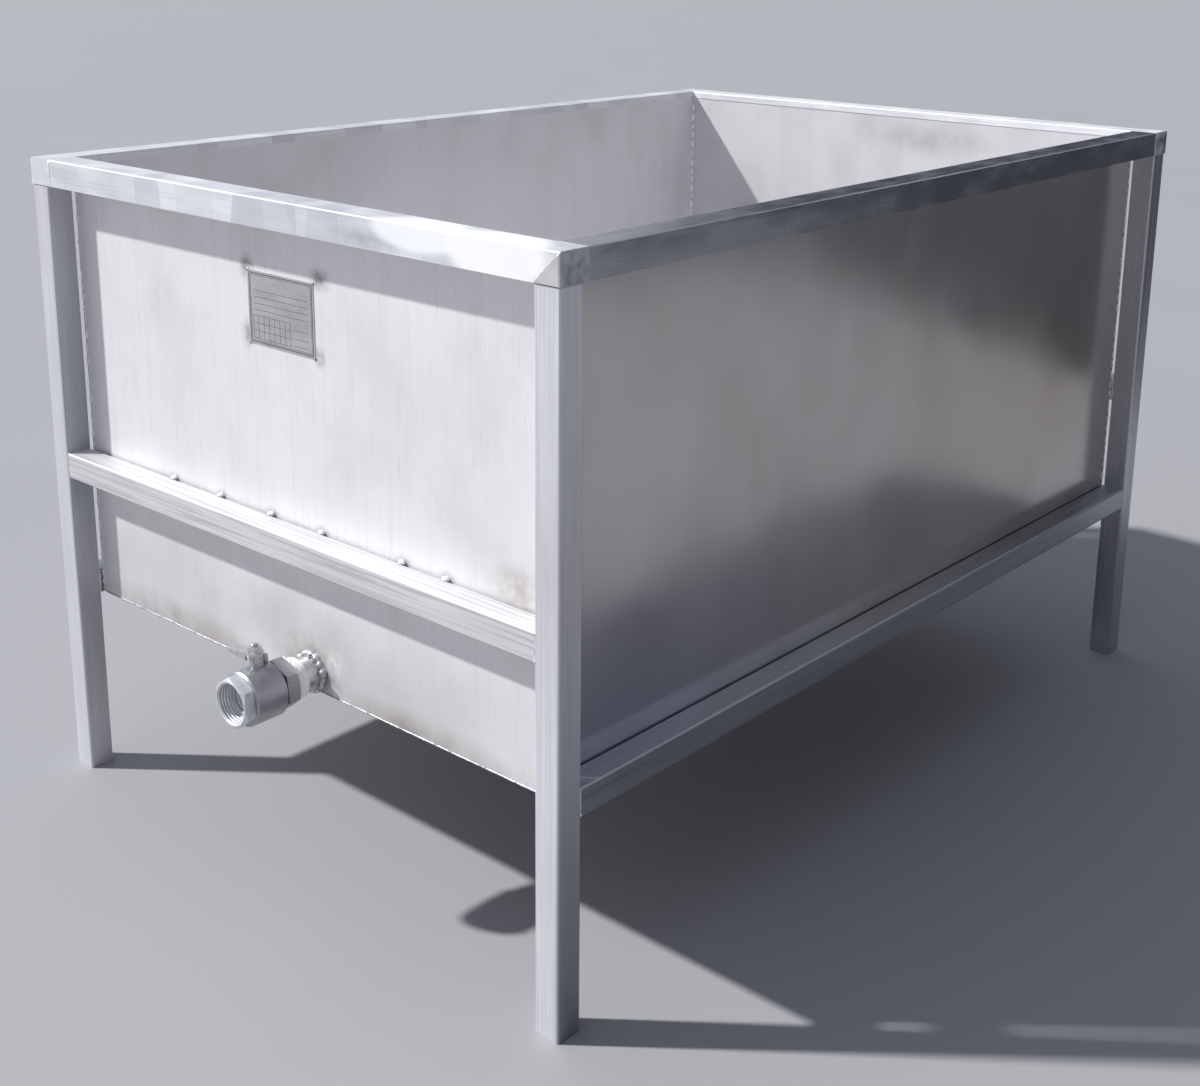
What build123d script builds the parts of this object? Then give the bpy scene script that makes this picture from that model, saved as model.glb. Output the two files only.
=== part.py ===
from math import cos, radians, sin, sqrt
import os

from build123d import *

os.makedirs("parts", exist_ok=True)

# Stainless steel vat: an open sheet tank hung in a welded tube stand, with a drain valve at the front.
# +X is the right of the stand, -Y the front with the valve, +Z up. Millimetres.

# Tank
tank_width = 1000
tank_length = 1500
tank_sheet = 1.5
tank_bottom_z = 300
tank_bend_radius = 6

# Stand, welded around the tank with a small gap at the sides and at the ends
side_gap = 1.5
end_gap = 4
overall_height = 1000
tube = 40
tube_wall = 2
tube_corner_radius = 3
side_rail_z = 317
end_rail_z = 521
foot_thickness = 2

# Folded rim cap over the top rails and the edge of the tank
cap_sheet = 1.2
cap_outer_flange = 40
cap_inner_flange = 13
cap_bend_radius = 2.2

# Hat sections under the floor
hat_count = 3
hat_spacing = 375
hat_end_gap = 50
hat_width = 40
hat_height = 25
hat_flange = 15
hat_sheet = 1.5

# Nameplate, left bare
plate_width = 140
plate_height = 103
plate_thickness = 0.8
plate_corner_radius = 3
plate_x = -9.5
plate_z = 836

# Tack welds between the front rail and the tank
tack_places = (-280, -165, -48, 62, 224, 307)
tack_length = 13
tack_rise = 2.6
tack_reach = 6.5
tack_taper = 25

# Drain pipe and ball valve. The valve sits turned a little about the pipe.
drain_x = 28
drain_z = 326.5
drain_reach = 140
valve_roll = 8
pipe_radius = 24.15
pipe_wall = 2
socket_radius = 28.33
thread_clearance = 0.1
thread_runout = 7
pipe_end_gap = 1
pipe_end_chamfer = 1
tape_thickness = 0.8
weld_leg = 4.2

rear_face = 44
front_face = 50
hex_across_flats = 65
hex_turn_down = 1
rear_hex_length = 21
front_hex_length = 17
body_radius = 39
body_shoulder = 6
body_chamfer = 2.5
port_radius = 19.5
web_near = 24
web_far = 29.5
spigot_radius = 32.4
spigot_start = 12
spigot_clearance = 0.1
cavity_radius = 31
seat_radius = 26.9
seat_pocket_radius = 27
seat_end = 12.5
mouth_chamfer = 1.5

ball_radius = 28.5
ball_bore_radius = 19
ball_slot_width = 7
ball_slot_floor = 23
seat_gap = 0.05

stem_radius = 5.5
stem_gap = 0.05
tongue_gap = 0.1
tongue_inset = 1
collar_gap = 0.3
stem_flats = 7.6
collar_radius = 8.5
collar_low = 29.6
collar_high = 32.6
packing_low = 40
packing_radius = 7.3
packing_high = 46
boss_radius = 9.2
boss_top = 50
gland_top = 53
hub_low = 54
hub_thickness = 3
nut_height = 9
nut_across_flats = 18
stem_top = 69.5
stem_chamfer = 0.6

lever_length = 60
lever_hub_radius = 12
lever_tip_width = 15
lever_lip = 7
lever_lip_sheet = 2.4
lever_lip_root = 8
lever_lip_straight = 4
stop_ring = 15
stop_angle = 28
ear_height = 8
ear_width = 7
ear_thickness = 3
lug_width = 6
lug_depth = 5

# Worked out from the sizes above
cap_top = overall_height
rail_top = cap_top - cap_sheet
leg_top = rail_top - tube
tank_top = rail_top - (cap_bend_radius - cap_sheet)
frame_width = tank_width + 2 * (side_gap + tube)
frame_length = tank_length + 2 * (end_gap + tube)
hat_length = tank_width - 2 * hat_end_gap
front_reach = tank_length / 2 + drain_reach
back_reach = frame_length / 2 + cap_sheet
mid_y = (front_reach - back_reach) / 2
front_wall_y = mid_y - tank_length / 2
leg_x = (frame_width - tube) / 2
leg_y = (frame_length - tube) / 2
valve_y = front_wall_y - drain_reach + front_face
hex_corner = hex_across_flats / sqrt(3)


# Square tube with rounded corners, drawn in the sketch that is open
def tube_section():
    RectangleRounded(tube, tube, tube_corner_radius)
    RectangleRounded(tube - 2 * tube_wall, tube - 2 * tube_wall, tube_corner_radius - tube_wall,
                     mode=Mode.SUBTRACT)


def write(part, node):
    part.label = node
    export_step(part, f"parts/{node}.step")


# Legs with a welded plate closing each foot
for side, side_sign in (("left", -1), ("right", 1)):
    for end, end_sign in (("front", -1), ("back", 1)):
        leg_centre = (side_sign * leg_x, mid_y + end_sign * leg_y)
        with BuildPart() as leg:
            with BuildSketch(Plane((*leg_centre, foot_thickness))):
                tube_section()
            extrude(amount=leg_top - foot_thickness)
        write(leg.part, f"leg_{end}_{side}")

        with BuildPart() as foot:
            with BuildSketch(Plane((*leg_centre, 0))):
                RectangleRounded(tube, tube, tube_corner_radius)
            extrude(amount=foot_thickness)
            chamfer(foot.edges().group_by(Axis.Z)[0], length=foot_thickness / 4)
        write(foot.part, f"foot_{end}_{side}")

# Top rails, hidden by the rim cap: the end rails run over the legs and the side rails fit between them.
# The end rails stop just short of the cap's inside bends.
top_end_length = frame_width - 2 * (cap_bend_radius - cap_sheet)
end_rail_length = frame_width - 2 * tube
side_rail_length = frame_length - 2 * tube
for end, end_sign in (("front", -1), ("back", 1)):
    with BuildPart() as top_end_rail:
        with BuildSketch(Plane((-top_end_length / 2, mid_y + end_sign * leg_y, rail_top - tube / 2),
                               x_dir=(0, 1, 0), z_dir=(1, 0, 0))):
            tube_section()
        extrude(amount=top_end_length)
    write(top_end_rail.part, f"top_rail_{end}")

    with BuildPart() as end_rail:
        with BuildSketch(Plane((-end_rail_length / 2, mid_y + end_sign * leg_y, end_rail_z),
                               x_dir=(0, 1, 0), z_dir=(1, 0, 0))):
            tube_section()
        extrude(amount=end_rail_length)
    write(end_rail.part, f"rail_{end}")

for side, side_sign in (("left", -1), ("right", 1)):
    for node, height in ((f"top_rail_{side}", rail_top - tube / 2), (f"rail_{side}", side_rail_z)):
        with BuildPart() as side_rail:
            with BuildSketch(Plane((side_sign * leg_x, mid_y - side_rail_length / 2, height),
                                   x_dir=(1, 0, 0), z_dir=(0, 1, 0))):
                tube_section()
            extrude(amount=side_rail_length)
        write(side_rail.part, node)

# Tank: one sheet bent into both sides and the floor, closed by two welded end walls
shell_length = tank_length - 2 * tank_sheet
with BuildPart() as tank_shell:
    shell_front = Plane((0, mid_y - shell_length / 2, 0), x_dir=(1, 0, 0), z_dir=(0, -1, 0))
    with BuildSketch(shell_front) as shell_bend:
        with Locations((0, (tank_top + tank_bottom_z) / 2)):
            Rectangle(tank_width, tank_top - tank_bottom_z)
        fillet(shell_bend.vertices().group_by(Axis.Y)[0], radius=tank_bend_radius)
        with BuildSketch(mode=Mode.PRIVATE) as hollow:
            with Locations((0, (tank_top + tank_bottom_z + tank_sheet) / 2)):
                Rectangle(tank_width - 2 * tank_sheet, tank_top - tank_bottom_z - tank_sheet)
            fillet(hollow.vertices().group_by(Axis.Y)[0], radius=tank_bend_radius - tank_sheet)
        add(hollow.sketch, mode=Mode.SUBTRACT)
    extrude(amount=-shell_length)
write(tank_shell.part, "tank_shell")

for end, end_sign in (("front", -1), ("back", 1)):
    outer_y = mid_y + end_sign * tank_length / 2
    with BuildPart() as end_wall:
        with BuildSketch(Plane((0, outer_y, 0), x_dir=(1, 0, 0), z_dir=(0, -1, 0))) as wall_outline:
            with Locations((0, (tank_top + tank_bottom_z) / 2)):
                Rectangle(tank_width, tank_top - tank_bottom_z)
            fillet(wall_outline.vertices().group_by(Axis.Y)[0], radius=tank_bend_radius)
            if end == "front":
                with Locations((drain_x, drain_z)):
                    Circle(pipe_radius + thread_clearance, mode=Mode.SUBTRACT)
        extrude(amount=end_sign * tank_sheet)
    write(end_wall.part, f"tank_wall_{end}")

# Hat sections welded across the underside of the floor, clear of the walls
for index in range(hat_count):
    hat_y = mid_y + (index - (hat_count - 1) / 2) * hat_spacing
    hat_end = Plane((-hat_length / 2, hat_y, tank_bottom_z), x_dir=(0, 1, 0), z_dir=(1, 0, 0))
    with BuildPart() as hat:
        with BuildSketch(hat_end) as bend:
            with Locations((0, -hat_sheet / 2)):
                Rectangle(hat_width + 2 * hat_flange, hat_sheet)
            with Locations((0, -hat_height / 2)):
                Rectangle(hat_width, hat_height)
            fillet(bend.vertices().group_by(Axis.Y)[0], radius=2 * hat_sheet)
            with BuildSketch(mode=Mode.PRIVATE) as hat_hollow:
                with Locations((0, -(hat_height - hat_sheet) / 2)):
                    Rectangle(hat_width - 2 * hat_sheet, hat_height - hat_sheet)
                fillet(hat_hollow.vertices().group_by(Axis.Y)[0], radius=hat_sheet)
            add(hat_hollow.sketch, mode=Mode.SUBTRACT)
        extrude(amount=hat_length)
    write(hat.part, f"floor_hat_{index + 1}")

# Rim cap: each length is folded to an outer flange, a top and an inner flange inside the tank.
# A length that runs through a corner is closed there by a return as deep as the outer flange.
side_cap_width = cap_sheet + tube + side_gap + tank_sheet + cap_sheet
end_cap_width = cap_sheet + tube + end_gap + tank_sheet + cap_sheet
cap_x = frame_width / 2 + cap_sheet
cap_y = frame_length / 2 + cap_sheet


# The corner depths say how far the inner flange is cut back at each end, and 0 leaves that end open.
def folded_cap(start, inward, length, width, corner_start, corner_end):
    along = Vector(inward).cross(Vector(0, 0, 1))
    across = Plane(start, x_dir=inward, z_dir=along)
    outer = cap_outer_flange
    inner = cap_inner_flange
    with BuildPart() as cap:
        with BuildSketch(across) as fold:
            with BuildLine():
                Polyline((0, -outer), (0, 0), (width, 0), (width, -inner), (width - cap_sheet, -inner),
                         (width - cap_sheet, -cap_sheet), (cap_sheet, -cap_sheet), (cap_sheet, -outer),
                         close=True)
            make_face()
            fillet(fold.vertices().group_by(Axis.Y)[-1], radius=cap_bend_radius)
            fillet(fold.vertices().filter_by(lambda corner: abs(corner.Y + cap_sheet) < 0.01),
                   radius=cap_bend_radius - cap_sheet)
        extrude(amount=length)
        for place, direction, corner in ((0, 1, corner_start), (length, -1, corner_end)):
            if corner == 0:
                continue
            with BuildSketch(across.offset(place)):
                with Locations((width - cap_sheet, -cap_sheet - inner / 2)):
                    Rectangle(3 * cap_sheet, inner)
            extrude(amount=direction * corner, mode=Mode.SUBTRACT)
            with BuildSketch(across.offset(place)) as return_face:
                with Locations((width / 2, -outer / 2)):
                    Rectangle(width, outer)
                outer_corner = return_face.vertices().group_by(Axis.Y)[-1].sort_by(Axis.X)[0]
                fillet(outer_corner, radius=cap_bend_radius)
            extrude(amount=direction * cap_sheet)
    return cap.part


caps = {
    "left": ((-cap_x, mid_y + cap_y, cap_top), (1, 0, 0), 2 * cap_y, side_cap_width,
             end_cap_width, end_cap_width),
    "front": ((-cap_x + side_cap_width, mid_y - cap_y, cap_top), (0, 1, 0), 2 * cap_x - side_cap_width,
              end_cap_width, 0, side_cap_width),
    "back": ((cap_x, mid_y + cap_y, cap_top), (0, -1, 0), 2 * cap_x - side_cap_width,
             end_cap_width, side_cap_width, 0),
    "right": ((cap_x, mid_y - cap_y + end_cap_width, cap_top), (-1, 0, 0), 2 * (cap_y - end_cap_width),
              side_cap_width, 0, 0),
}
for side, shape in caps.items():
    write(folded_cap(*shape), f"rim_cap_{side}")

# Nameplate tacked on the front wall
with BuildPart() as nameplate:
    with BuildSketch(Plane((plate_x, front_wall_y, plate_z), x_dir=(1, 0, 0), z_dir=(0, -1, 0))):
        RectangleRounded(plate_width, plate_height, plate_corner_radius)
    extrude(amount=plate_thickness)
write(nameplate.part, "nameplate")

# Tack welds on top of the front rail, bridging to the tank
for index, tack_x in enumerate(tack_places):
    with BuildPart() as tack:
        with BuildSketch(Plane((tack_x, front_wall_y, end_rail_z + tube / 2))):
            with Locations((0, -tack_reach / 2)):
                Ellipse(tack_length / 2, tack_reach / 2)
        extrude(amount=tack_rise, taper=tack_taper)
    write(tack.part, f"rail_tack_{index + 1}")

# Drain pipe: welded into the front wall, with a threaded end that screws into the valve
valve_centre = Vector(drain_x, valve_y, drain_z)
roll_cos = cos(radians(valve_roll))
roll_sin = sin(radians(valve_roll))
across_dir = Vector(roll_cos, 0, roll_sin)
stem_dir = Vector(-roll_sin, 0, roll_cos)
outlet_dir = Vector(0, -1, 0)
bore_axis = Axis(valve_centre, outlet_dir)
stem_axis = Axis(valve_centre, stem_dir)
# In lengthwise, x runs towards the outlet and y up the stem. In level, x runs across the pipe and y back.
lengthwise = Plane(valve_centre, x_dir=outlet_dir, z_dir=-across_dir)
level = Plane(valve_centre, x_dir=across_dir, z_dir=stem_dir)
facing = Plane(valve_centre, x_dir=across_dir, z_dir=outlet_dir)

wall_face = -(drain_reach - front_face)
pipe_end = wall_face - tank_sheet
shoulder = -(rear_face + thread_runout)
thread_end = -(web_far + pipe_end_gap)
thread_radius = socket_radius - thread_clearance
with BuildPart() as drain_pipe:
    with BuildSketch(lengthwise):
        with BuildLine():
            Polyline((pipe_end, pipe_radius - pipe_wall), (pipe_end, pipe_radius),
                     (shoulder - (thread_radius - pipe_radius), pipe_radius), (shoulder, thread_radius),
                     (thread_end - pipe_end_chamfer, thread_radius),
                     (thread_end, thread_radius - pipe_end_chamfer), (thread_end, pipe_radius - pipe_wall),
                     close=True)
        make_face()
    revolve(axis=bore_axis)
write(drain_pipe.part, "drain_pipe")

with BuildPart() as drain_weld:
    with BuildSketch(lengthwise):
        with BuildLine():
            Line((wall_face, pipe_radius), (wall_face, pipe_radius + weld_leg))
            ThreePointArc((wall_face, pipe_radius + weld_leg),
                          (wall_face + 0.4 * weld_leg, pipe_radius + 0.4 * weld_leg),
                          (wall_face + weld_leg, pipe_radius))
            Line((wall_face + weld_leg, pipe_radius), (wall_face, pipe_radius))
        make_face()
    revolve(axis=bore_axis)
write(drain_weld.part, "drain_weld")

with BuildPart() as thread_tape:
    with BuildSketch(lengthwise):
        with Locations(((shoulder - rear_face) / 2, thread_radius + tape_thickness / 2)):
            Rectangle(-shoulder - rear_face, tape_thickness)
    revolve(axis=bore_axis)
write(thread_tape.part, "thread_tape")


# A hexagon with one corner towards the stem, running from its free face to the chamber. The corners at
# the free face are turned down to a 30 degree cone.
def hexagon_end(face, root):
    turned = hex_across_flats / 2 - hex_turn_down
    cone = (hex_corner - turned) / sqrt(3) * (1 if root > face else -1)
    with BuildPart() as hexagon:
        with BuildSketch(facing.offset(face)):
            RegularPolygon(hex_corner, 6, rotation=30)
        extrude(amount=root - face)
        with BuildSketch(lengthwise):
            with BuildLine():
                Polyline((face, 0), (face, turned), (face + cone, hex_corner), (root, hex_corner),
                         (root, 0), close=True)
            make_face()
        revolve(axis=bore_axis, mode=Mode.INTERSECT)
    return hexagon.part


# Valve body: hexagon at the pipe end, round chamber, boss for the stem and a lug that stops the lever
body_start = rear_hex_length - rear_face
body_end = front_face - front_hex_length
rear_hexagon = hexagon_end(-rear_face, body_start)
with BuildPart() as valve_body:
    with BuildSketch(lengthwise):
        with BuildLine():
            Polyline((body_start, 0), (body_start, hex_across_flats / 2 - hex_turn_down),
                     (body_start + body_shoulder, body_radius), (body_end - body_chamfer, body_radius),
                     (body_end, body_radius - body_chamfer), (body_end, 0), close=True)
        make_face()
    revolve(axis=bore_axis)
    add(rear_hexagon)
    with BuildSketch(level.offset(collar_low)):
        Circle(boss_radius)
    extrude(amount=boss_top - collar_low)
    with BuildSketch(level.offset(collar_low)):
        with Locations((0, stop_ring)):
            Rectangle(lug_width, lug_depth)
    extrude(amount=boss_top - collar_low)
    with BuildSketch(lengthwise):
        with BuildLine():
            Polyline((-rear_face, 0), (-rear_face, socket_radius), (-web_far, socket_radius),
                     (-web_far, port_radius), (-web_near, port_radius), (-web_near, seat_pocket_radius),
                     (-spigot_start, seat_pocket_radius), (-spigot_start, cavity_radius),
                     (spigot_start, cavity_radius), (spigot_start, spigot_radius + spigot_clearance),
                     (body_end, spigot_radius + spigot_clearance), (body_end, 0), close=True)
        make_face()
    revolve(axis=bore_axis, mode=Mode.SUBTRACT)
    with BuildSketch(level.offset(ball_slot_floor)):
        Circle(collar_radius + collar_gap)
    extrude(amount=collar_high + tongue_gap - ball_slot_floor, mode=Mode.SUBTRACT)
    with BuildSketch(level.offset(ball_slot_floor)):
        Circle(stem_radius + stem_gap)
    extrude(amount=boss_top - ball_slot_floor, mode=Mode.SUBTRACT)
    with BuildSketch(level.offset(packing_low)):
        Circle(packing_radius)
    extrude(amount=boss_top - packing_low, mode=Mode.SUBTRACT)
write(valve_body.part, "valve_body")

# End cap: the outlet hexagon with its threaded mouth, screwed into the body by a spigot that holds a seat
front_hexagon = hexagon_end(front_face, body_end)
with BuildPart() as valve_end_cap:
    add(front_hexagon)
    with BuildSketch(facing.offset(spigot_start)):
        Circle(spigot_radius)
    extrude(amount=body_end - spigot_start)
    with BuildSketch(lengthwise):
        with BuildLine():
            Polyline((spigot_start, 0), (spigot_start, seat_pocket_radius), (web_near, seat_pocket_radius),
                     (web_near, port_radius), (web_far, port_radius), (web_far, socket_radius),
                     (front_face - mouth_chamfer, socket_radius),
                     (front_face, socket_radius + mouth_chamfer), (front_face, 0), close=True)
        make_face()
    revolve(axis=bore_axis, mode=Mode.SUBTRACT)
write(valve_end_cap.part, "valve_end_cap")

# Seats: a ring each side of the ball, hollowed to its sphere
for end, sign in (("front", 1), ("back", -1)):
    with BuildPart() as seat:
        with BuildSketch(lengthwise):
            with Locations((sign * (web_near + seat_end) / 2, (seat_radius + port_radius) / 2)):
                Rectangle(web_near - seat_end, seat_radius - port_radius)
        revolve(axis=bore_axis)
        with Locations(valve_centre):
            Sphere(ball_radius + seat_gap, mode=Mode.SUBTRACT)
    write(seat.part, f"ball_seat_{end}")

# Ball, closed at rest: its bore lies across the pipe, and the stem's tongue lies along the pipe
with BuildPart() as valve_ball:
    with Locations(valve_centre):
        Sphere(ball_radius)
    with BuildSketch(Plane(valve_centre, x_dir=stem_dir, z_dir=across_dir)):
        Circle(ball_bore_radius)
    extrude(amount=ball_radius, both=True, mode=Mode.SUBTRACT)
    with BuildSketch(level.offset(ball_slot_floor)):
        Rectangle(ball_slot_width, 2 * ball_radius)
    extrude(amount=ball_radius, mode=Mode.SUBTRACT)
write(valve_ball.part, "valve_ball")

# Stem: tongue, collar that can't blow out, shank and a top with two flats
with BuildPart() as valve_stem:
    with BuildSketch(level.offset(ball_slot_floor + tongue_gap)):
        Rectangle(ball_slot_width - 2 * tongue_gap, 2 * (collar_radius - tongue_inset))
    extrude(amount=collar_low - ball_slot_floor - tongue_gap)
    with BuildSketch(level.offset(collar_low)):
        Circle(collar_radius)
    extrude(amount=collar_high - collar_low)
    with BuildSketch(level.offset(collar_high)):
        Circle(stem_radius)
    extrude(amount=hub_low - collar_high)
    with BuildSketch(level.offset(hub_low)):
        Circle(stem_radius)
        Rectangle(stem_flats, 2 * stem_radius, mode=Mode.INTERSECT)
    extrude(amount=stem_top - hub_low)
    chamfer(valve_stem.faces().sort_by(stem_axis)[-1].edges(), length=stem_chamfer)
write(valve_stem.part, "valve_stem")

with BuildPart() as stem_packing:
    with BuildSketch(level.offset(packing_low)):
        Circle(packing_radius)
        Circle(stem_radius + stem_gap, mode=Mode.SUBTRACT)
    extrude(amount=packing_high - packing_low)
write(stem_packing.part, "stem_packing")

with BuildPart() as gland_nut:
    with BuildSketch(level.offset(packing_high)):
        Circle(packing_radius - stem_gap)
    extrude(amount=boss_top - packing_high)
    with BuildSketch(level.offset(boss_top)):
        RegularPolygon(boss_radius, 6)
    extrude(amount=gland_top - boss_top)
    with BuildSketch(level.offset(packing_high)):
        Circle(stem_radius + stem_gap)
    extrude(amount=gland_top - packing_high, mode=Mode.SUBTRACT)
write(gland_nut.part, "gland_nut")

# Lever: a short pressed handle with turned-down lips, and two ears that meet the lug at open and closed
hub_top = hub_low + hub_thickness
tip_x = lever_tip_width / 2 - lever_length
tip_y = lever_tip_width / 2
root_x = -lever_lip_root
root_y = lever_hub_radius - (lever_hub_radius - tip_y) * root_x / tip_x
ear_angles = (90 + stop_angle, -stop_angle)
flat_fill = 4
with BuildPart() as valve_lever:
    with BuildSketch(level.offset(hub_low)):
        Circle(lever_hub_radius)
        with BuildLine():
            Polyline((0, lever_hub_radius), (tip_x, tip_y), (tip_x, -tip_y), (0, -lever_hub_radius),
                     close=True)
        make_face()
        with Locations((tip_x, 0)):
            Circle(tip_y)
        for ear_angle in ear_angles:
            with PolarLocations(stop_ring - ear_thickness / 2, 1, start_angle=ear_angle):
                Rectangle(2 * ear_thickness, ear_width)
        Circle(stem_radius + stem_gap, mode=Mode.SUBTRACT)
        with GridLocations(stem_flats + 2 * stem_gap + flat_fill, 0, 2, 1):
            Rectangle(flat_fill, 2 * stem_radius + flat_fill)
    extrude(amount=hub_thickness)
    for ear_angle in ear_angles:
        with BuildSketch(level.offset(hub_low)):
            with PolarLocations(stop_ring, 1, start_angle=ear_angle):
                Rectangle(ear_thickness, ear_width)
        extrude(amount=-ear_height)
    for lip_side in (-1, 1):
        with BuildSketch(level.offset(hub_low)):
            with BuildLine():
                Polyline((root_x, lip_side * root_y), (tip_x, lip_side * tip_y),
                         (tip_x, lip_side * (tip_y - lever_lip_sheet)),
                         (root_x, lip_side * (root_y - lever_lip_sheet)), close=True)
            make_face()
        extrude(amount=-lever_lip)
    # The lips run straight at first, then taper away towards the tip
    straight_end = lever_lip_root + lever_lip_straight
    cut_end = lever_length
    cut_floor = hub_low - 2 * lever_lip
    with BuildSketch(Plane(valve_centre, x_dir=-across_dir, z_dir=-outlet_dir)):
        with BuildLine():
            Polyline((straight_end, hub_low - lever_lip), (cut_end, hub_low), (cut_end, cut_floor),
                     (straight_end, cut_floor), close=True)
        make_face()
    extrude(amount=2 * lever_hub_radius, both=True, mode=Mode.SUBTRACT)
write(valve_lever.part, "valve_lever")

with BuildPart() as lever_nut:
    with BuildSketch(level.offset(hub_top)):
        RegularPolygon(nut_across_flats / sqrt(3), 6, rotation=15)
        Circle(stem_radius + stem_gap, mode=Mode.SUBTRACT)
    extrude(amount=nut_height)
write(lever_nut.part, "lever_nut")
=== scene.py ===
import math

import bmesh
import bpy
from mathutils import Matrix, Vector, noise


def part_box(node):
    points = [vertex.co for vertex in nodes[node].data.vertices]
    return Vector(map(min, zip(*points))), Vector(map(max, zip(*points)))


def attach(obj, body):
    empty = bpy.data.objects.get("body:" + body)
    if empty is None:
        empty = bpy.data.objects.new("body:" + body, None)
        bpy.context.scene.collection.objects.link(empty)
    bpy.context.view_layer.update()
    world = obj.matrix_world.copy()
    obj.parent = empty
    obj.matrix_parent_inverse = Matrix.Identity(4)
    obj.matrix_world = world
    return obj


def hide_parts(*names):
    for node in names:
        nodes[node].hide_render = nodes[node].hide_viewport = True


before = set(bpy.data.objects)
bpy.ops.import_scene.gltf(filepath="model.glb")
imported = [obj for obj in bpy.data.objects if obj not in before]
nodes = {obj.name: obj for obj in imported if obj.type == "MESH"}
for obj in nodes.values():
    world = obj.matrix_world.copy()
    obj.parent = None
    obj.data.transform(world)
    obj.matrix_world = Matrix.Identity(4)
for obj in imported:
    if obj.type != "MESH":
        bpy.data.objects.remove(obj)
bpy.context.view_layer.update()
mm = 0.001
print("frame loaded:", len(nodes), "nodes")

# Camera, at the photograph's own place
photo = {
    "width": 1200, "height": 1086,         # picture size in pixels
    "focal": 1661.2,                       # focal length in pixels
    "axisX": 611.2, "axisY": 363.5,        # pixel that the lens looks straight at
    "place": (1.75175, -2.04935, 1.34179),
    "turn": 41.056, "tip": 14.716, "roll": 0.589,   # degrees: to the left, down, about the line of sight
    "sensor": 36.0,                        # millimetres, across the width
}


def makeCamera():
    lens = bpy.data.cameras.new("photoCamera")
    lens.sensor_width = photo["sensor"]
    lens.lens = photo["focal"] / photo["width"] * photo["sensor"]
    lens.shift_x = (photo["width"] / 2 - photo["axisX"]) / photo["width"]
    lens.shift_y = (photo["axisY"] - photo["height"] / 2) / photo["width"]
    lens.clip_end = 200
    camera = bpy.data.objects.new("photoCamera", lens)
    turn = Matrix.Rotation(math.radians(photo["turn"]), 4, "Z")
    tip = Matrix.Rotation(math.radians(90 - photo["tip"]), 4, "X")
    roll = Matrix.Rotation(math.radians(photo["roll"]), 4, "Z")
    camera.matrix_world = Matrix.Translation(photo["place"]) @ turn @ tip @ roll
    bpy.context.scene.collection.objects.link(camera)
    bpy.context.scene.camera = camera


makeCamera()
print("camera placed")


# One sRGB hex colour as the linear numbers that a shader takes
def linear(hexColour):
    levels = [int(hexColour[place:place + 2], 16) / 255 for place in (1, 3, 5)]
    return tuple(c / 12.92 if c <= 0.04045 else ((c + 0.055) / 1.055) ** 2.4 for c in levels) + (1.0,)


# A node with its settings and with links from others. A number names a socket by its order, and a node
# given as it is stands for its first output.
def addNode(tree, kind, settings=(), links=()):
    node = tree.nodes.new(kind)
    for key, value in dict(settings).items():
        if isinstance(key, int) or key in node.inputs:
            node.inputs[key].default_value = value
        else:
            setattr(node, key, value)
    for key, source in dict(links).items():
        socket = source.outputs[0] if isinstance(source, bpy.types.Node) else source
        tree.links.new(socket, node.inputs[key])
    return node


# Mapping scale for marks of one length across and another along an axis, both in millimetres
def markScale(size, axis):
    lengths = [size[0]] * 3
    lengths[axis] = size[1]
    return [1 / (length * mm) for length in lengths]


# A cloudy or streaky pattern, with marks of a given size across and along an axis
def marks(tree, place, size, axis, high=1.0, low=0.0, band=(0.35, 0.65), detail=3, shift=0.0):
    spread = addNode(tree, "ShaderNodeMapping",
                     {"Scale": markScale(size, axis), "Location": (shift, shift, shift)},
                     {"Vector": place})
    cloud = addNode(tree, "ShaderNodeTexNoise", {"Scale": 1.0, "Detail": detail}, {"Vector": spread})
    return addNode(tree, "ShaderNodeMapRange",
                   {"From Min": band[0], "From Max": band[1], "To Min": low, "To Max": high},
                   {"Value": cloud})


# Full strength at a spot, fading to 0 at its edge. The reach is three lengths in millimetres.
def spotMask(tree, place, centre, reach, strength=1.0, soft=1.0):
    moved = addNode(tree, "ShaderNodeVectorMath", {"operation": "SUBTRACT", 1: centre}, {0: place})
    scaled = addNode(tree, "ShaderNodeVectorMath",
                     {"operation": "MULTIPLY", 1: [1 / (length * mm) for length in reach]},
                     {0: moved})
    size = addNode(tree, "ShaderNodeVectorMath", {"operation": "LENGTH"}, {0: scaled})
    return addNode(tree, "ShaderNodeMapRange",
                   {"interpolation_type": "SMOOTHSTEP", "From Min": 1.0, "From Max": 1.0 - soft,
                    "To Max": strength}, {"Value": size.outputs["Value"]})


stainCloud = {"low": 0.45, "high": 1.2, "detail": 5, "band": (0.35, 0.62)}    # how stains and patches of painted shade break up
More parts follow.
